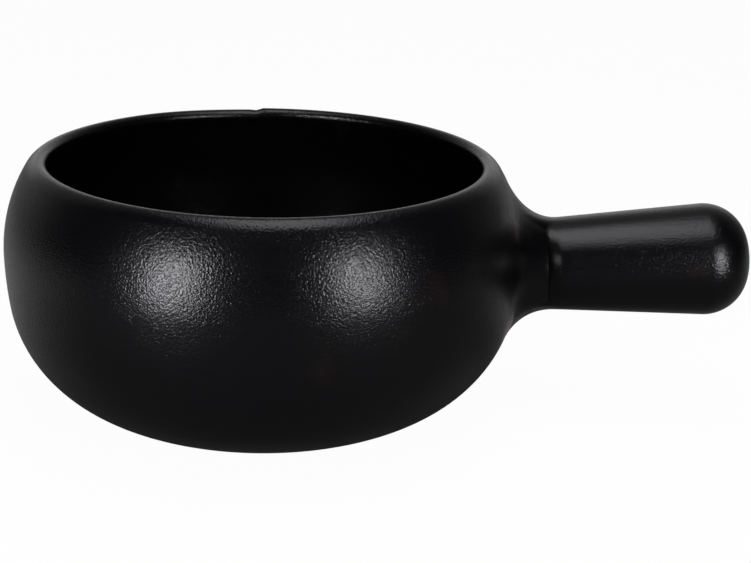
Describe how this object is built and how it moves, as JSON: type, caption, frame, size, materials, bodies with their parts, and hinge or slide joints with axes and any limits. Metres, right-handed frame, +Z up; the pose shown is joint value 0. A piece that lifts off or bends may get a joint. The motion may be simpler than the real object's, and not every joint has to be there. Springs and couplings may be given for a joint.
{
  "type": "fondue pot",
  "caption": "Round-bellied ceramic fondue pot with a rolled-in lip, a bare foot ring and a tapered hollow side handle on a flared collar.",
  "frame": {"origin": "centre of the foot ring, on the table", "axes": "+Z up along the bowl's axis, +X along the handle"},
  "size_m": [0.3178, 0.22, 0.108],
  "materials": {
    "red_clay": "matte",
    "black_glaze": "satin"
  },
  "bodies": {
    "root": {"bowl": "red_clay", "handle": "red_clay", "luting_collar": "red_clay", "lining_glaze": "black_glaze", "bowl_glaze": "black_glaze", "collar_glaze": "black_glaze", "handle_glaze": "black_glaze"}
  },
  "joints": []
}
